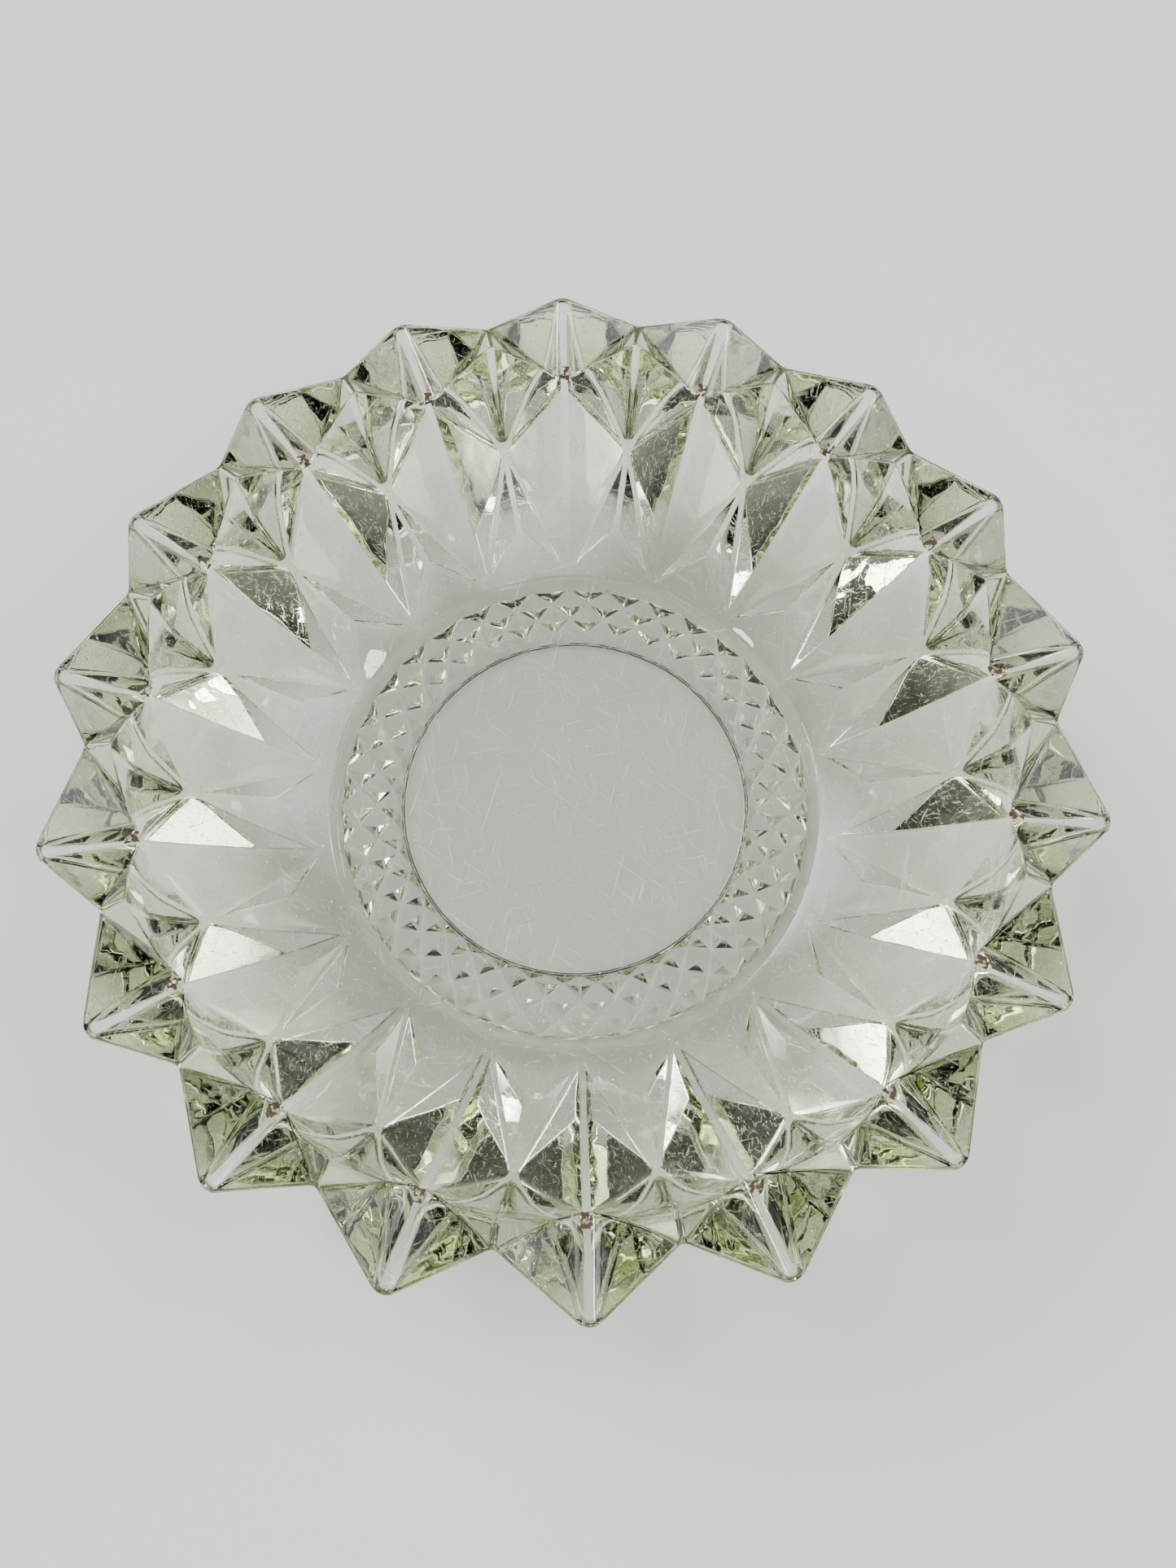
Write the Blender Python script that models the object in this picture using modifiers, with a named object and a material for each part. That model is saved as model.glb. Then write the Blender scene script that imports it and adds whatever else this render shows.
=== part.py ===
"""A pressed-glass bowl with eighteen pointed teeth round its rim, moulded in one piece.

The outside is a ring of eighteen equal sectors. In each one a petal, which is a hollow of four
facets, climbs from the foot to an arch under a tooth, and a ridge with a sunk pyramid stands
between it and the next petal. The inside is smooth and turned. Under the floor a band of small
diamond points surrounds a plain disc, and a narrow ring round the band is what the bowl stands on.

Metres, +Z up. The origin is the middle of the bottom, and the first tooth points along +Y.
"""

import math

import bmesh
import bpy
from mathutils import Vector

MM = 0.001
NAME = "glass_bowl"

TEETH = 18
ON_TOOTH = 0.0
BETWEEN = 0.5
SIDES = (-1, 1)

# Rim, as radius and height
TIP = (115 * MM, 48.1 * MM)
TIP_UNDERSIDE = (114.4 * MM, 44.6 * MM)
TIP_HALF_WIDTH = 1.4 * MM
STRIP_END = (94.5 * MM, 44.1 * MM)
STRIP_HALF_WIDTH = 2.0 * MM
VALLEY = (101.4 * MM, 56.7 * MM)
LAND = (92 * MM, 57.6 * MM)

# Outside of the wall, as radius and height
ARCH = (98.7 * MM, 37.9 * MM)
PETAL_FOLD = (79.9 * MM, 16 * MM)
PETAL_FOOT = (64.7 * MM, 1.6 * MM)
RIDGE_TOP = (97.2 * MM, 14.8 * MM)
RIDGE_HOLLOW = (72.9 * MM, 11.8 * MM)

# Inside of the wall
FLOOR_HEIGHT = 7.4 * MM
FLOOR_RADIUS = 60.5 * MM
WALL_RADIUS = 95.4 * MM
WALL_HEIGHT = 44.8 * MM
WALL_BULGE = 2.9 * MM
WALL_STEPS = 7
MOUTH_RADIUS = 96 * MM
INSIDE_STEPS = 90
CLEARANCE = 15 * MM

# Foot and the underside of the floor
FOOT_RADIUS = 61.5 * MM
FOOT_INSIDE = 58.5 * MM
FOOT_STEPS = 72
DIAMONDS = 36
DIAMOND_RADII = (58.2 * MM, 53.8 * MM, 49.5 * MM, 45.3 * MM)
DIAMOND_VALLEY = 3.3 * MM
DIAMOND_POINT = 0.7 * MM
DISC_RADIUS = 42.4 * MM
DISC_HEIGHT = 0.8 * MM
DISC_GROOVE_RADIUS = 42.9 * MM
DISC_GROOVE_HEIGHT = 1.2 * MM
DISC_BORDER_RADIUS = 43.4 * MM
DISC_BORDER_HEIGHT = 1.0 * MM

GLASS_COLOUR = (0.90, 0.93, 0.84, 1.0)
GLASS_ROUGHNESS = 0.03
GLASS_IOR = 1.52
FLAT_EDGE_ANGLE = math.radians(12)


def clear_scene():
    for item in list(bpy.data.objects):
        bpy.data.objects.remove(item)


def new_collection(name, parent):
    collection = bpy.data.collections.new(name)
    parent.children.link(collection)
    return collection


def glass_material():
    material = bpy.data.materials.new("clear_glass")
    material.use_nodes = True
    shader = material.node_tree.nodes["Principled BSDF"]
    shader.inputs["Base Color"].default_value = GLASS_COLOUR
    shader.inputs["Roughness"].default_value = GLASS_ROUGHNESS
    shader.inputs["Metallic"].default_value = 0.0
    shader.inputs["IOR"].default_value = GLASS_IOR
    shader.inputs["Transmission Weight"].default_value = 1.0
    return material


def around(radius, turn, height, sideways=0.0):
    """The point at a share `turn` of a full circle, clockwise from +Y as seen from above."""
    angle = 2 * math.pi * turn + sideways / radius
    return Vector((radius * math.sin(angle), radius * math.cos(angle), height))


def sector_points(mesh, place, point, sideways=0.0):
    """One point in each sector, on its tooth's line or half a sector on."""
    radius, height = point
    turns = [(tooth + place) / TEETH for tooth in range(TEETH)]
    return [mesh.verts.new(around(radius, turn, height, sideways)) for turn in turns]


def circle_points(mesh, radius, height, steps):
    return [mesh.verts.new(around(radius, step / steps, height)) for step in range(steps)]


def object_from(mesh, name, collection):
    bmesh.ops.recalc_face_normals(mesh, faces=mesh.faces)
    data = bpy.data.meshes.new(name)
    mesh.to_mesh(data)
    mesh.free()
    item = bpy.data.objects.new(name, data)
    collection.objects.link(item)
    return item


def add_ridge(mesh, foot, next_foot, top, hollow):
    """The ridge between two petals, with its sunk pyramid."""
    mesh.faces.new((foot, next_foot, hollow))
    mesh.faces.new((next_foot, top, hollow))
    mesh.faces.new((top, foot, hollow))


def add_half_petal(mesh, foot, fold, arch, ridge_top):
    mesh.faces.new((foot, ridge_top, fold))
    mesh.faces.new((fold, ridge_top, arch))


def add_half_tooth(mesh, arch, ridge_top, valley, tip, underside, strip, land):
    """One side of a tooth: its underside, its side wall and its top."""
    mesh.faces.new((arch, ridge_top, underside))
    mesh.faces.new((ridge_top, tip, underside))
    mesh.faces.new((ridge_top, valley, tip))
    mesh.faces.new((tip, valley, strip))
    mesh.faces.new((valley, land, strip))


def add_foot(mesh, foot, rim):
    """The slope from the standing ring up to the petals' feet, and the flat bottom."""
    share = len(rim) // TEETH
    for tooth in range(TEETH):
        first = tooth * share - share // 2
        for step in range(first, first + share):
            mesh.faces.new((foot[tooth], rim[step % len(rim)], rim[(step + 1) % len(rim)]))
        last = (first + share) % len(rim)
        mesh.faces.new((foot[tooth], rim[last], foot[(tooth + 1) % TEETH]))
    mesh.faces.new(rim)


def build_block(collection):
    """The solid outside: a loft from the round foot through the petals to the toothed rim."""
    mesh = bmesh.new()
    tips = [sector_points(mesh, ON_TOOTH, TIP, side * TIP_HALF_WIDTH) for side in SIDES]
    undersides = [sector_points(mesh, ON_TOOTH, TIP_UNDERSIDE, side * TIP_HALF_WIDTH) for side in SIDES]
    strips = [sector_points(mesh, ON_TOOTH, STRIP_END, side * STRIP_HALF_WIDTH) for side in SIDES]
    valley = sector_points(mesh, BETWEEN, VALLEY)
    land = sector_points(mesh, BETWEEN, LAND)
    arch = sector_points(mesh, ON_TOOTH, ARCH)
    fold = sector_points(mesh, ON_TOOTH, PETAL_FOLD)
    foot = sector_points(mesh, ON_TOOTH, PETAL_FOOT)
    ridge_top = sector_points(mesh, BETWEEN, RIDGE_TOP)
    hollow = sector_points(mesh, BETWEEN, RIDGE_HOLLOW)
    middle = mesh.verts.new((0, 0, LAND[1]))

    for tooth in range(TEETH):
        add_ridge(mesh, foot[tooth], foot[(tooth + 1) % TEETH], ridge_top[tooth], hollow[tooth])
        neighbours = (tooth - 1, tooth)
        for tip, underside, strip, gap in zip(tips, undersides, strips, neighbours):
            add_half_petal(mesh, foot[tooth], fold[tooth], arch[tooth], ridge_top[gap])
            top = (tip[tooth], underside[tooth], strip[tooth], land[gap])
            add_half_tooth(mesh, arch[tooth], ridge_top[gap], valley[gap], *top)
            mesh.faces.new((strip[tooth], land[gap], middle))
        tip_edge = [tip[tooth] for tip in tips]
        under_edge = [underside[tooth] for underside in undersides]
        strip_edge = [strip[tooth] for strip in strips]
        mesh.faces.new((arch[tooth], *under_edge))
        mesh.faces.new((*under_edge, *reversed(tip_edge)))
        mesh.faces.new((*tip_edge, *reversed(strip_edge)))
        mesh.faces.new((*strip_edge, middle))
    add_foot(mesh, foot, circle_points(mesh, FOOT_RADIUS, 0, FOOT_STEPS))
    return object_from(mesh, NAME, collection)


def bulged_wall():
    """The inside of the wall from its top down to the floor, as a shallow outward bow."""
    top = Vector((WALL_RADIUS, WALL_HEIGHT))
    bottom = Vector((FLOOR_RADIUS, FLOOR_HEIGHT))
    along = (bottom - top).normalized()
    outward = Vector((-along.y, along.x))
    wall = []
    for step in range(WALL_STEPS + 1):
        share = step / WALL_STEPS
        bow = 4 * share * (1 - share) * WALL_BULGE
        wall.append(top.lerp(bottom, share) + outward * bow)
    return wall


def plunger_profile():
    """The inside's outline from the top of the cutter down its outer side to the axis."""
    top = LAND[1] + CLEARANCE
    axis_top = Vector((0, top))
    mouth = Vector((MOUTH_RADIUS, top))
    floor_middle = Vector((0, FLOOR_HEIGHT))
    return [axis_top, mouth, *bulged_wall(), floor_middle]


def hide_cutter(item):
    item.hide_render = True
    item.display_type = "WIRE"


def build_plunger(collection):
    """The turned body that presses the inside."""
    mesh = bmesh.new()
    corners = [mesh.verts.new((point.x, 0, point.y)) for point in plunger_profile()]
    for upper, lower in zip(corners[:-1], corners[1:]):
        mesh.edges.new((upper, lower))
    item = object_from(mesh, "plunger", collection)
    screw = item.modifiers.new("turn", "SCREW")
    screw.steps = INSIDE_STEPS
    screw.render_steps = INSIDE_STEPS
    screw.use_merge_vertices = True
    screw.merge_threshold = 0.00001
    hide_cutter(item)
    return item


def diamond_ring(mesh, row):
    """One circle of the diamond band, where points and valleys take turns."""
    ring = []
    for step in range(2 * DIAMONDS):
        is_point = (step + row) % 2 == 1
        height = DIAMOND_POINT if is_point else DIAMOND_VALLEY
        ring.append(mesh.verts.new(around(DIAMOND_RADII[row], step / (2 * DIAMONDS), height)))
    return ring


def join_rings(mesh, outer, inner, first_cut):
    """Triangles between two circles of points, each square cut on alternate diagonals."""
    count = len(outer)
    for step in range(count):
        after = (step + 1) % count
        if (step + first_cut) % 2 == 0:
            mesh.faces.new((outer[step], outer[after], inner[after]))
            mesh.faces.new((outer[step], inner[after], inner[step]))
        else:
            mesh.faces.new((outer[step], outer[after], inner[step]))
            mesh.faces.new((outer[after], inner[after], inner[step]))


def build_relief(collection):
    """The die that presses the diamond band and the disc into the underside."""
    mesh = bmesh.new()
    steps = 2 * DIAMONDS
    below = circle_points(mesh, FOOT_INSIDE, -CLEARANCE, steps)
    rows = [diamond_ring(mesh, row) for row in range(len(DIAMOND_RADII))]
    border = circle_points(mesh, DISC_BORDER_RADIUS, DISC_BORDER_HEIGHT, steps)
    groove = circle_points(mesh, DISC_GROOVE_RADIUS, DISC_GROOVE_HEIGHT, steps)
    disc = circle_points(mesh, DISC_RADIUS, DISC_HEIGHT, steps)
    rings = [below, *rows, border, groove, disc]
    for number, (outer, inner) in enumerate(zip(rings[:-1], rings[1:])):
        join_rings(mesh, outer, inner, number + 1)
    mesh.faces.new(below)
    mesh.faces.new(disc)
    item = object_from(mesh, "relief_die", collection)
    hide_cutter(item)
    return item


def cut_with(item, cutter):
    cut = item.modifiers.new(cutter.name, "BOOLEAN")
    cut.operation = "DIFFERENCE"
    cut.solver = "EXACT"
    cut.object = cutter


def build_bowl():
    parts = new_collection("art_glass_bowl", bpy.context.scene.collection)
    cutters = new_collection("cutters", bpy.context.scene.collection)
    bowl = build_block(parts)
    bowl.data.materials.append(glass_material())
    cut_with(bowl, build_plunger(cutters))
    cut_with(bowl, build_relief(cutters))
    bowl.data.shade_smooth()
    bowl.data.set_sharp_from_angle(angle=FLAT_EDGE_ANGLE)


clear_scene()
build_bowl()
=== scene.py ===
"""The pressed-glass bowl as it looks: rounded moulded edges, tinted glass, scratches and dust.

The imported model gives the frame. The glass is modelled again here as one finer body, with the
same outline, edges rounded as fire-polishing leaves them, and a smooth turned inside.
"""

import math

import bmesh
import bpy
from mathutils import Matrix, Vector


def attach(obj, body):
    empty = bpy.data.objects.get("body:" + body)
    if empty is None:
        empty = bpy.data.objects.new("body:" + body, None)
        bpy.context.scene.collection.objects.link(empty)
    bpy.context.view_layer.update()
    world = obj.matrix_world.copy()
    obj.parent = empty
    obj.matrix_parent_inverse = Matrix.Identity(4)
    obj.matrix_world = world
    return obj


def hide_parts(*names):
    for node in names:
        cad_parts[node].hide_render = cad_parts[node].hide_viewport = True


MM = 0.001
NODE = "glass_bowl"

TEETH = 18
ON_TOOTH = 0.0
BETWEEN = 0.5
SIDES = (-1, 1)

# Rim, as radius and height
TIP = (115 * MM, 48.1 * MM)
TIP_UNDERSIDE = (114.4 * MM, 44.6 * MM)
TIP_HALF_WIDTH = 1.4 * MM
STRIP_END = (94.5 * MM, 44.1 * MM)
STRIP_HALF_WIDTH = 2.0 * MM
VALLEY = (101.4 * MM, 56.7 * MM)
LAND = (92 * MM, 57.6 * MM)

# Outside of the wall, as radius and height
ARCH = (98.7 * MM, 37.9 * MM)
PETAL_FOLD = (79.9 * MM, 16 * MM)
PETAL_FOOT = (64.7 * MM, 1.6 * MM)
RIDGE_TOP = (97.2 * MM, 14.8 * MM)
RIDGE_HOLLOW = (72.9 * MM, 11.8 * MM)

# Inside of the wall
FLOOR_HEIGHT = 7.4 * MM
FLOOR_RADIUS = 60.5 * MM
FLOOR_FLAT_SHARE = 0.93  # a ring of flat faces this far out keeps the floor's shading flat
WALL_RADIUS = 95.4 * MM
WALL_HEIGHT = 44.8 * MM
WALL_BULGE = 2.9 * MM
WALL_STEPS = 24
MOUTH_RADIUS = 96 * MM
BEND_REACH = 4 * MM
BEND_STEPS = 6
INSIDE_STEPS = 216
CLEARANCE = 15 * MM
SCREW_MERGE = 0.01 * MM

# Foot and the underside of the floor
FOOT_RADIUS = 61.5 * MM
FOOT_INSIDE = 58.5 * MM
FOOT_STEPS = 144
DIAMONDS = 36
DIAMOND_RADII = (58.2 * MM, 53.8 * MM, 49.5 * MM, 45.3 * MM)
DIAMOND_VALLEY = 3.3 * MM
DIAMOND_POINT = 0.7 * MM
DISC_RADIUS = 42.4 * MM
DISC_HEIGHT = 0.8 * MM
DISC_GROOVE_RADIUS = 42.9 * MM
DISC_GROOVE_HEIGHT = 1.2 * MM
DISC_BORDER_RADIUS = 43.4 * MM
DISC_BORDER_HEIGHT = 1.0 * MM

# Rounded edges: the moulded outside, the edges of the turned inside and the fine diamond band
OUTSIDE_ROUND = 1.2 * MM
OUTSIDE_SEGMENTS = 4
INSIDE_ROUND = 0.45 * MM
RELIEF_ROUND = 0.5 * MM
FINE_SEGMENTS = 2
EDGE_ANGLE = math.radians(13)
WELD = 0.1 * MM
DEGENERATE = 0.005 * MM

# How far a point may be off a line or a level and still count as on it
SLACK = 0.5 * MM

# Glass
GLASS_IOR = 1.52
TINT = (0.71, 0.80, 0.34, 1.0)
TINT_DENSITY = 17.0
CLEAN_GLASS = (0.985, 0.99, 0.97, 1.0)
HAZY_GLASS = (0.955, 0.965, 0.93, 1.0)
HAZE_SCALE = 30.0
HAZE_DETAIL = 6.0
HAZE_RANGE = (0.45, 0.75)
HAZE_ROUGHNESS = 0.05
RIPPLE_SCALE = 60.0
RIPPLE_DETAIL = 2.0
RIPPLE_HEIGHT = 0.2 * MM

# Wear: turns and scales of the scratches, then spacing, size and share of the specks
SCRATCH_SETS = ((0.3, 2200.0), (1.4, 2700.0), (2.2, 1900.0), (2.9, 3100.0))
SCRATCH_DRAWN = 0.03
SCRATCH_UPRIGHT = 0.15
SCRATCH_DETAIL = 2.0
SCRATCH_CUT = (0.685, 0.725)
SCRATCH_DEPTH = 0.006 * MM
SCRATCH_ROUGHNESS = 0.2
SCRATCH_WHITE = 0.24
DUST = (2.2 * MM, 0.17 * MM, 0.4)
PITS = (4.1 * MM, 0.35 * MM, 0.3)
PIT_DEPTH = 0.05 * MM

# Dirt at the inner ends of the teeth's strips: how far it reaches outwards and sideways
DIRT_REACH = 3 * MM
DIRT_HALF_WIDTH = 1.2 * MM
DIRT_COLOUR = (0.07, 0.042, 0.024, 1.0)
DIRT_SCALE = 900.0
DIRT_DETAIL = 3.0
DIRT_CUT = 0.5

# The pale floor that the bowl stands on, a hair below it
STAGE_COLOUR = (0.74, 0.73, 0.72, 1.0)
STAGE_ROUGHNESS = 0.85
STAGE_SIZE = 4.0
STAGE_GAP = 0.2 * MM

# Studio: soft lamps as direction, core and reach in degrees, and strength, then small lamps for
# sparkle as place and power
LIGHT_COLOUR = (0.97, 0.98, 1.0, 1.0)
ROOM_LIGHT = 0.05
BACKDROP = 0.5
SOFT_LAMPS = (
    ((-0.62, 0.5, 0.62), 6, 22, 12.0),
    ((0.8, 0.15, 0.6), 6, 24, 6.0),
    ((0.1, -0.75, 0.65), 6, 22, 4.5),
    ((0.0, 0.1, 1.0), 15, 55, 0.7),
)
SPARKLE_SIZE = 0.16
SPARKLES = (
    ((-0.5, 0.3, 1.3), 3.0),
    ((0.6, 0.5, 1.2), 2.5),
    ((0.25, -0.6, 1.3), 2.0),
    ((-0.8, -0.4, 1.0), 2.0),
    ((0.9, -0.3, 0.9), 2.0),
)

# Camera: its place over the bowl, its angles, and its lens in millimetres
CAMERA_AT = Vector((-0.9, -81.7, 291.4)) * MM
CAMERA_TILT = math.radians(16.74)
CAMERA_ROLL = math.radians(-0.37)
CAMERA_TURN = math.radians(-1.55)
LENS = 27.46


def around(radius, turn, height, sideways=0.0):
    """The point at a share `turn` of a full circle, clockwise from +Y as seen from above."""
    angle = 2 * math.pi * turn + sideways / radius
    return Vector((radius * math.sin(angle), radius * math.cos(angle), height))


def sector_points(mesh, place, point, sideways=0.0):
    """One point in each sector, on its tooth's line or half a sector on."""
    radius, height = point
    turns = [(tooth + place) / TEETH for tooth in range(TEETH)]
    return [mesh.verts.new(around(radius, turn, height, sideways)) for turn in turns]


def both_sides(mesh, point, half_width):
    """Two points in each sector, the same way off either side of its tooth's line."""
    return [sector_points(mesh, ON_TOOTH, point, side * half_width) for side in SIDES]


def circle_points(mesh, radius, height, steps):
    return [mesh.verts.new(around(radius, step / steps, height)) for step in range(steps)]


def object_from(mesh, name):
    data = bpy.data.meshes.new(name)
    mesh.to_mesh(data)
    mesh.free()
    item = bpy.data.objects.new(name, data)
    bpy.context.scene.collection.objects.link(item)
    return item


def add_ridge(mesh, foot, next_foot, top, hollow):
    """The ridge between two petals, with its sunk pyramid."""
    mesh.faces.new((foot, next_foot, hollow))
    mesh.faces.new((next_foot, top, hollow))
    mesh.faces.new((top, foot, hollow))


def add_half_petal(mesh, foot, fold, arch, ridge_top):
    mesh.faces.new((foot, ridge_top, fold))
    mesh.faces.new((fold, ridge_top, arch))


def add_half_tooth(mesh, arch, ridge_top, valley, tip, underside, strip, land):
    """One side of a tooth: its underside, its side wall and its top."""
    mesh.faces.new((arch, ridge_top, underside))
    mesh.faces.new((ridge_top, tip, underside))
    mesh.faces.new((ridge_top, valley, tip))
    mesh.faces.new((tip, valley, strip))
    mesh.faces.new((valley, land, strip))


def add_foot(mesh, foot, rim):
    """The slope from the standing ring up to the petals' feet, and the flat bottom."""
    share = len(rim) // TEETH
    for tooth in range(TEETH):
        first = tooth * share - share // 2
        for step in range(first, first + share):
            mesh.faces.new((foot[tooth], rim[step % len(rim)], rim[(step + 1) % len(rim)]))
        last = (first + share) % len(rim)
        mesh.faces.new((foot[tooth], rim[last], foot[(tooth + 1) % TEETH]))
    mesh.faces.new(rim)


def build_block():
    """The solid outside: a loft from the round foot through the petals to the toothed rim."""
    mesh = bmesh.new()
    tips = both_sides(mesh, TIP, TIP_HALF_WIDTH)
    undersides = both_sides(mesh, TIP_UNDERSIDE, TIP_HALF_WIDTH)
    strips = both_sides(mesh, STRIP_END, STRIP_HALF_WIDTH)
    valley = sector_points(mesh, BETWEEN, VALLEY)
    land = sector_points(mesh, BETWEEN, LAND)
    arch = sector_points(mesh, ON_TOOTH, ARCH)
    fold = sector_points(mesh, ON_TOOTH, PETAL_FOLD)
    foot = sector_points(mesh, ON_TOOTH, PETAL_FOOT)
    ridge_top = sector_points(mesh, BETWEEN, RIDGE_TOP)
    hollow = sector_points(mesh, BETWEEN, RIDGE_HOLLOW)
    middle = mesh.verts.new((0, 0, LAND[1]))

    for tooth in range(TEETH):
        add_ridge(mesh, foot[tooth], foot[(tooth + 1) % TEETH], ridge_top[tooth], hollow[tooth])
        neighbours = (tooth - 1, tooth)
        for tip, underside, strip, gap in zip(tips, undersides, strips, neighbours):
            add_half_petal(mesh, foot[tooth], fold[tooth], arch[tooth], ridge_top[gap])
            top = (tip[tooth], underside[tooth], strip[tooth], land[gap])
            add_half_tooth(mesh, arch[tooth], ridge_top[gap], valley[gap], *top)
            mesh.faces.new((strip[tooth], land[gap], middle))
        tip_edge = [tip[tooth] for tip in tips]
        under_edge = [underside[tooth] for underside in undersides]
        strip_edge = [strip[tooth] for strip in strips]
        mesh.faces.new((arch[tooth], *under_edge))
        mesh.faces.new((*under_edge, *reversed(tip_edge)))
        mesh.faces.new((*tip_edge, *reversed(strip_edge)))
        mesh.faces.new((*strip_edge, middle))
    add_foot(mesh, foot, circle_points(mesh, FOOT_RADIUS, 0, FOOT_STEPS))
    bmesh.ops.recalc_face_normals(mesh, faces=mesh.faces)
    return object_from(mesh, "bowl_glass")


def bulged_wall():
    """The inside of the wall from its top down to the floor, as a shallow outward bow."""
    top = Vector((WALL_RADIUS, WALL_HEIGHT))
    bottom = Vector((FLOOR_RADIUS, FLOOR_HEIGHT))
    along = (bottom - top).normalized()
    outward = Vector((-along.y, along.x))
    wall = []
    for step in range(WALL_STEPS + 1):
        share = step / WALL_STEPS
        bow = 4 * share * (1 - share) * WALL_BULGE
        wall.append(top.lerp(bottom, share) + outward * bow)
    return wall


def bend(above, corner, below):
    """A smooth curve that leaves one line and joins another short of the corner where they meet."""
    start = corner + (above - corner).normalized() * BEND_REACH
    end = corner + (below - corner).normalized() * BEND_REACH
    shares = [step / BEND_STEPS for step in range(BEND_STEPS + 1)]
    return [start.lerp(corner, share).lerp(corner.lerp(end, share), share) for share in shares]


def build_plunger():
    """The turned body that presses the inside."""
    top = LAND[1] + CLEARANCE
    mouth = Vector((MOUTH_RADIUS, top))
    floor_edge = Vector((FLOOR_RADIUS * FLOOR_FLAT_SHARE, FLOOR_HEIGHT))
    corner, *wall = bulged_wall()
    curve = bend(mouth, corner, wall[0])
    lower_wall = [point for point in wall if (point - corner).length > BEND_REACH + SLACK]
    profile = [Vector((0, top)), mouth, *curve, *lower_wall, floor_edge, Vector((0, FLOOR_HEIGHT))]
    mesh = bmesh.new()
    corners = [mesh.verts.new((point.x, 0, point.y)) for point in profile]
    for upper, lower in zip(corners[:-1], corners[1:]):
        mesh.edges.new((upper, lower))
    item = object_from(mesh, "plunger")
    screw = item.modifiers.new("turn", "SCREW")
    screw.steps = INSIDE_STEPS
    screw.render_steps = INSIDE_STEPS
    screw.use_merge_vertices = True
    screw.merge_threshold = SCREW_MERGE
    return item


def diamond_ring(mesh, row):
    """One circle of the diamond band, where points and valleys take turns."""
    ring = []
    for step in range(2 * DIAMONDS):
        is_point = (step + row) % 2 == 1
        height = DIAMOND_POINT if is_point else DIAMOND_VALLEY
        ring.append(mesh.verts.new(around(DIAMOND_RADII[row], step / (2 * DIAMONDS), height)))
    return ring


def join_rings(mesh, outer, inner, first_cut):
    """Triangles between two circles of points, each square cut on alternate diagonals."""
    count = len(outer)
    for step in range(count):
        after = (step + 1) % count
        if (step + first_cut) % 2 == 0:
            mesh.faces.new((outer[step], outer[after], inner[after]))
            mesh.faces.new((outer[step], inner[after], inner[step]))
        else:
            mesh.faces.new((outer[step], outer[after], inner[step]))
            mesh.faces.new((outer[after], inner[after], inner[step]))


def build_relief():
    """The die that presses the diamond band and the disc into the underside."""
    mesh = bmesh.new()
    steps = 2 * DIAMONDS
    below = circle_points(mesh, FOOT_INSIDE, -CLEARANCE, steps)
    rows = [diamond_ring(mesh, row) for row in range(len(DIAMOND_RADII))]
    border = circle_points(mesh, DISC_BORDER_RADIUS, DISC_BORDER_HEIGHT, steps)
    groove = circle_points(mesh, DISC_GROOVE_RADIUS, DISC_GROOVE_HEIGHT, steps)
    disc = circle_points(mesh, DISC_RADIUS, DISC_HEIGHT, steps)
    rings = [below, *rows, border, groove, disc]
    for number, (outer, inner) in enumerate(zip(rings[:-1], rings[1:])):
        join_rings(mesh, outer, inner, number + 1)
    mesh.faces.new(below)
    mesh.faces.new(disc)
    bmesh.ops.recalc_face_normals(mesh, faces=mesh.faces)
    return object_from(mesh, "relief_die")


def apply_modifiers(item):
    graph = bpy.context.evaluated_depsgraph_get()
    data = bpy.data.meshes.new_from_object(item.evaluated_get(graph))
    item.modifiers.clear()
    item.data = data


def cut_with(item, cutter):
    cut = item.modifiers.new(cutter.name, "BOOLEAN")
    cut.operation = "DIFFERENCE"
    cut.solver = "EXACT"
    cut.object = cutter
    apply_modifiers(item)
    bpy.data.objects.remove(cutter)


def every_edge(_middle):
    return True


def inside_edges(middle):
    """True on the edges that the plunger leaves: the rim's inner edge and the edge of the floor."""
    radius = middle.xy.length
    on_rim = middle.z > STRIP_END[1] - SLACK and radius < MOUTH_RADIUS + SLACK
    on_floor = middle.z > FLOOR_HEIGHT - SLACK and radius < FLOOR_RADIUS + SLACK
    return on_rim or on_floor


def round_edges(item, width, segments, chosen):
    """Rounds the sharp edges whose middle `chosen` says yes to."""
    mesh = bmesh.new()
    mesh.from_mesh(item.data)
    bmesh.ops.remove_doubles(mesh, verts=mesh.verts, dist=WELD)
    bmesh.ops.dissolve_degenerate(mesh, edges=mesh.edges, dist=DEGENERATE)
    weight = mesh.edges.layers.float.new("bevel_weight_edge")
    for edge in mesh.edges:
        middle = (edge.verts[0].co + edge.verts[1].co) / 2
        if edge.calc_face_angle(0.0) > EDGE_ANGLE and chosen(middle):
            edge[weight] = 1.0
    mesh.to_mesh(item.data)
    mesh.free()
    rounding = item.modifiers.new("rounding", "BEVEL")
    rounding.width = width
    rounding.segments = segments
    rounding.limit_method = "WEIGHT"
    rounding.use_clamp_overlap = False
    apply_modifiers(item)
    item.data.attributes.remove(item.data.attributes["bevel_weight_edge"])


def smooth_shading(item):
    """Large facets stay flat and the rounded edges between them carry the turn."""
    item.data.shade_smooth()
    weighted = item.modifiers.new("flat_facets", "WEIGHTED_NORMAL")
    weighted.mode = "FACE_AREA"
    apply_modifiers(item)


def build_glass():
    glass = build_block()
    round_edges(glass, OUTSIDE_ROUND, OUTSIDE_SEGMENTS, every_edge)
    cut_with(glass, build_plunger())
    round_edges(glass, INSIDE_ROUND, FINE_SEGMENTS, inside_edges)
    relief = build_relief()
    round_edges(relief, RELIEF_ROUND, FINE_SEGMENTS, every_edge)
    cut_with(glass, relief)
    smooth_shading(glass)
    return glass


def new_material(name):
    material = bpy.data.materials.new(name)
    material.use_nodes = True
    return material, material.node_tree


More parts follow.
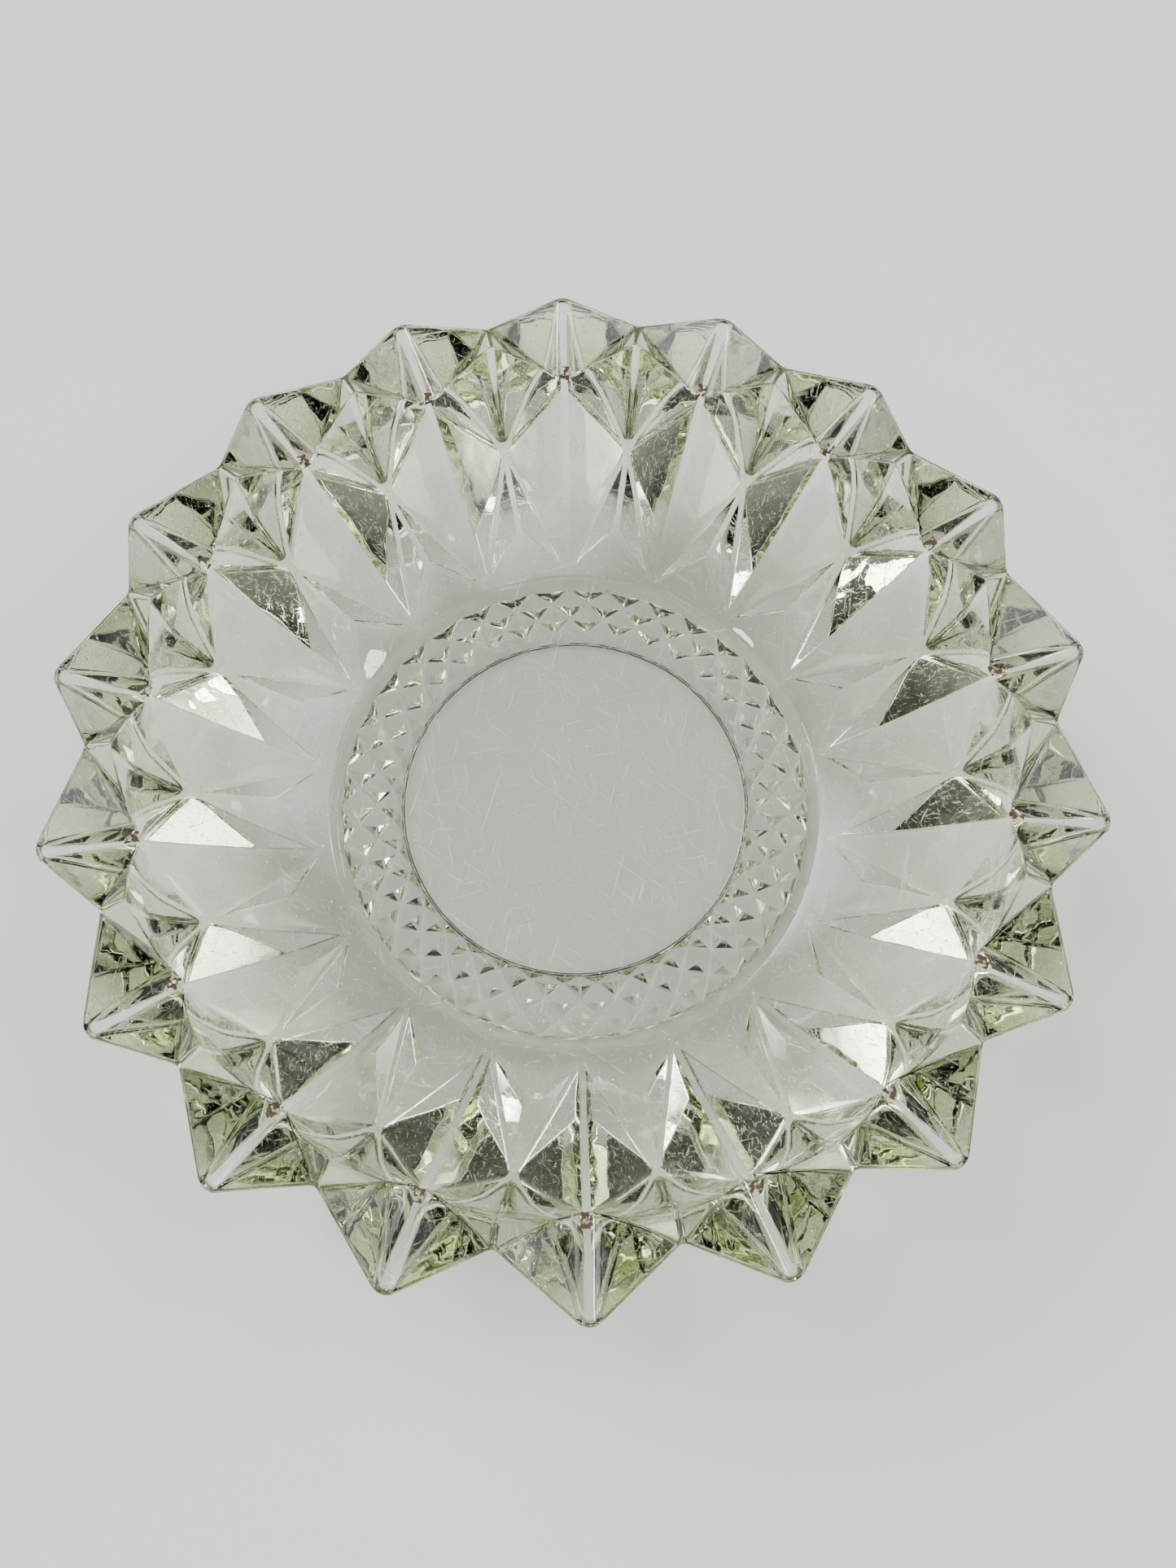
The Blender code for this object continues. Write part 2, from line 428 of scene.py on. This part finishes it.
def math_node(tree, operation, first, second=0.0):
    node = tree.nodes.new("ShaderNodeMath")
    node.operation = operation
    for socket, value in zip(node.inputs, (first, second)):
        if isinstance(value, (int, float)):
            socket.default_value = value
        else:
            tree.links.new(value, socket)
    return node.outputs["Value"]


def noise_node(tree, coordinates, scale, detail):
    noise = tree.nodes.new("ShaderNodeTexNoise")
    noise.inputs["Scale"].default_value = scale
    noise.inputs["Detail"].default_value = detail
    tree.links.new(coordinates, noise.inputs["Vector"])
    return noise.outputs["Fac"]


def map_range(tree, value, source, target):
    ranged = tree.nodes.new("ShaderNodeMapRange")
    ranged.inputs["From Min"].default_value, ranged.inputs["From Max"].default_value = source
    ranged.inputs["To Min"].default_value, ranged.inputs["To Max"].default_value = target
    tree.links.new(value, ranged.inputs["Value"])
    return ranged.outputs["Result"]


def scratch_lines(tree, coordinates, turn, scale):
    """Fine straight scratches along one direction: noise that is drawn out very long."""
    turned = tree.nodes.new("ShaderNodeVectorRotate")
    turned.rotation_type = "Z_AXIS"
    turned.inputs["Angle"].default_value = turn
    tree.links.new(coordinates, turned.inputs["Vector"])
    mapping = tree.nodes.new("ShaderNodeMapping")
    mapping.inputs["Scale"].default_value = (scale, scale * SCRATCH_DRAWN, scale * SCRATCH_UPRIGHT)
    tree.links.new(turned.outputs["Vector"], mapping.inputs["Vector"])
    noise = noise_node(tree, mapping.outputs["Vector"], scale=1.0, detail=SCRATCH_DETAIL)
    return map_range(tree, noise, SCRATCH_CUT, (0.0, 1.0))


def all_scratches(tree, coordinates):
    total = 0.0
    for turn, scale in SCRATCH_SETS:
        total = math_node(tree, "ADD", scratch_lines(tree, coordinates, turn, scale), total)
    return math_node(tree, "MINIMUM", total, 1.0)


def specks(tree, coordinates, spacing, size, share):
    """Small round specks in a share of evenly spaced cells."""
    cells = tree.nodes.new("ShaderNodeTexVoronoi")
    cells.inputs["Scale"].default_value = 1 / spacing
    tree.links.new(coordinates, cells.inputs["Vector"])
    inside = math_node(tree, "LESS_THAN", cells.outputs["Distance"], size / spacing)
    colour = tree.nodes.new("ShaderNodeSeparateColor")
    tree.links.new(cells.outputs["Color"], colour.inputs["Color"])
    picked = math_node(tree, "LESS_THAN", colour.outputs["Red"], share)
    return math_node(tree, "MULTIPLY", inside, picked)


def between(tree, value, low, high):
    above_low = math_node(tree, "GREATER_THAN", value, low)
    return math_node(tree, "MULTIPLY", above_low, math_node(tree, "LESS_THAN", value, high))


def strip_dirt(tree, coordinates):
    """Patches of dirt where each tooth's strip meets the inside."""
    parts = tree.nodes.new("ShaderNodeSeparateXYZ")
    tree.links.new(coordinates, parts.inputs["Vector"])
    x, y, z = parts.outputs
    angle = math_node(tree, "ARCTAN2", x, y)
    sector = 2 * math.pi / TEETH
    from_tooth = math_node(tree, "PINGPONG", angle, sector / 2)
    squares = [math_node(tree, "MULTIPLY", part, part) for part in (x, y)]
    radius = math_node(tree, "SQRT", math_node(tree, "ADD", *squares))
    near_line = math_node(tree, "LESS_THAN", from_tooth, DIRT_HALF_WIDTH / STRIP_END[0])
    near_end = between(tree, radius, STRIP_END[0] - DIRT_REACH, STRIP_END[0] + DIRT_REACH)
    on_top = math_node(tree, "GREATER_THAN", z, STRIP_END[1] - SLACK)
    noise = noise_node(tree, coordinates, DIRT_SCALE, DIRT_DETAIL)
    patches = math_node(tree, "GREATER_THAN", noise, DIRT_CUT)
    place = math_node(tree, "MULTIPLY", near_line, math_node(tree, "MULTIPLY", near_end, on_top))
    return math_node(tree, "MULTIPLY", place, patches)


def mix_colours(tree, share, first, second):
    mix = tree.nodes.new("ShaderNodeMixRGB")
    tree.links.new(share, mix.inputs["Fac"])
    for name, colour in (("Color1", first), ("Color2", second)):
        if isinstance(colour, tuple):
            mix.inputs[name].default_value = colour
        else:
            tree.links.new(colour, mix.inputs[name])
    return mix.outputs["Color"]


def bump_node(tree, height, distance, below=None):
    bump = tree.nodes.new("ShaderNodeBump")
    bump.inputs["Strength"].default_value = 1.0
    bump.inputs["Distance"].default_value = distance
    tree.links.new(height, bump.inputs["Height"])
    if below:
        tree.links.new(below, bump.inputs["Normal"])
    return bump.outputs["Normal"]


def glass_relief(tree, coordinates, pits, scratches):
    """The surface's unevenness: ripples from the mould, pits and scratches."""
    ripple = noise_node(tree, coordinates, RIPPLE_SCALE, RIPPLE_DETAIL)
    rippled = bump_node(tree, ripple, RIPPLE_HEIGHT)
    pitted = bump_node(tree, pits, -PIT_DEPTH, rippled)
    return bump_node(tree, scratches, -SCRATCH_DEPTH, pitted)


def glass_material():
    material, tree = new_material("tinted_pressed_glass")
    shader = tree.nodes["Principled BSDF"]
    shader.inputs["IOR"].default_value = GLASS_IOR
    coordinates = tree.nodes.new("ShaderNodeTexCoord").outputs["Object"]
    haze = noise_node(tree, coordinates, HAZE_SCALE, HAZE_DETAIL)
    scratches = all_scratches(tree, coordinates)
    dirt = strip_dirt(tree, coordinates)
    cover = math_node(tree, "MAXIMUM", specks(tree, coordinates, *DUST), dirt)
    relief = glass_relief(tree, coordinates, specks(tree, coordinates, *PITS), scratches)

    roughness = map_range(tree, haze, HAZE_RANGE, (0.0, HAZE_ROUGHNESS))
    scratch_roughness = math_node(tree, "MULTIPLY", scratches, SCRATCH_ROUGHNESS)
    roughness = math_node(tree, "ADD", roughness, scratch_roughness)
    roughness = math_node(tree, "MAXIMUM", roughness, cover)
    scratch_cover = math_node(tree, "MULTIPLY", scratches, SCRATCH_WHITE)
    clear = math_node(tree, "SUBTRACT", 1.0, math_node(tree, "MAXIMUM", cover, scratch_cover))
    surface = mix_colours(tree, haze, CLEAN_GLASS, HAZY_GLASS)

    tree.links.new(mix_colours(tree, dirt, surface, DIRT_COLOUR), shader.inputs["Base Color"])
    tree.links.new(roughness, shader.inputs["Roughness"])
    tree.links.new(clear, shader.inputs["Transmission Weight"])
    tree.links.new(relief, shader.inputs["Normal"])

    body = tree.nodes.new("ShaderNodeVolumeAbsorption")
    body.inputs["Color"].default_value = TINT
    body.inputs["Density"].default_value = TINT_DENSITY
    tree.links.new(body.outputs["Volume"], tree.nodes["Material Output"].inputs["Volume"])
    return material


def floor_material():
    material, tree = new_material("pale_floor")
    shader = tree.nodes["Principled BSDF"]
    shader.inputs["Base Color"].default_value = STAGE_COLOUR
    shader.inputs["Roughness"].default_value = STAGE_ROUGHNESS
    return material


def build_floor():
    bpy.ops.mesh.primitive_plane_add(size=STAGE_SIZE, location=(0.0, 0.0, -STAGE_GAP))
    floor = bpy.context.object
    floor.name = "floor"
    floor.data.materials.append(floor_material())
    return floor


def soft_lamp(tree, direction, towards, core, reach, strength):
    """A round lamp in the surroundings, whose light fades out evenly from its core to its reach."""
    angle = tree.nodes.new("ShaderNodeVectorMath")
    angle.operation = "DOT_PRODUCT"
    angle.inputs[1].default_value = Vector(towards).normalized()
    tree.links.new(direction, angle.inputs[0])
    edge = (math.cos(math.radians(reach)), math.cos(math.radians(core)))
    return map_range(tree, angle.outputs["Value"], edge, (0.0, strength))


def add_sparkle(name, place, power):
    light = bpy.data.lights.new(name, "AREA")
    light.shape = "DISK"
    light.size = SPARKLE_SIZE
    light.energy = power
    item = bpy.data.objects.new(name, light)
    item.location = place
    item.rotation_euler = (-Vector(place)).to_track_quat("-Z", "Y").to_euler()
    bpy.context.scene.collection.objects.link(item)


def room_light(tree):
    """The dim room with its soft lamps. Looked at directly it is only an even backdrop."""
    direction = tree.nodes.new("ShaderNodeTexCoord").outputs["Generated"]
    light = ROOM_LIGHT
    for lamp in SOFT_LAMPS:
        light = math_node(tree, "ADD", soft_lamp(tree, direction, *lamp), light)
    looked_at = tree.nodes.new("ShaderNodeLightPath").outputs["Is Camera Ray"]
    seen = tree.nodes.new("ShaderNodeMix")
    seen.inputs["B"].default_value = BACKDROP
    tree.links.new(looked_at, seen.inputs["Factor"])
    tree.links.new(light, seen.inputs["A"])
    return seen.outputs["Result"]


def add_studio():
    world = bpy.data.worlds.new("studio")
    world.use_nodes = True
    tree = world.node_tree
    background = tree.nodes["Background"]
    background.inputs["Color"].default_value = LIGHT_COLOUR
    tree.links.new(room_light(tree), background.inputs["Strength"])
    bpy.context.scene.world = world
    for number, (place, power) in enumerate(SPARKLES):
        add_sparkle(f"sparkle_{number}", place, power)


def add_camera():
    data = bpy.data.cameras.new("camera")
    data.lens = LENS
    camera = bpy.data.objects.new("camera", data)
    turn = Matrix.Rotation(CAMERA_TURN, 4, "Z")
    tilt = Matrix.Rotation(CAMERA_TILT, 4, "X")
    roll = Matrix.Rotation(CAMERA_ROLL, 4, "Y")
    camera.matrix_world = Matrix.Translation(CAMERA_AT) @ turn @ tilt @ roll
    bpy.context.scene.collection.objects.link(camera)
    bpy.context.scene.camera = camera


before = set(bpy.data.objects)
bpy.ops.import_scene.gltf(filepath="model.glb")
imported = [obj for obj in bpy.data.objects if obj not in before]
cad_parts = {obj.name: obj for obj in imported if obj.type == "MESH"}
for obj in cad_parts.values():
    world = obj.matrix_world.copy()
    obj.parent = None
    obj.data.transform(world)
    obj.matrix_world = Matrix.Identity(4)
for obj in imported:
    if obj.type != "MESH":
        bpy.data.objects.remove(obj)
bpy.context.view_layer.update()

glass = build_glass()
glass.data.materials.clear()
glass.data.materials.append(glass_material())
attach(glass, "root")
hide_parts(NODE)

build_floor()
add_studio()
add_camera()
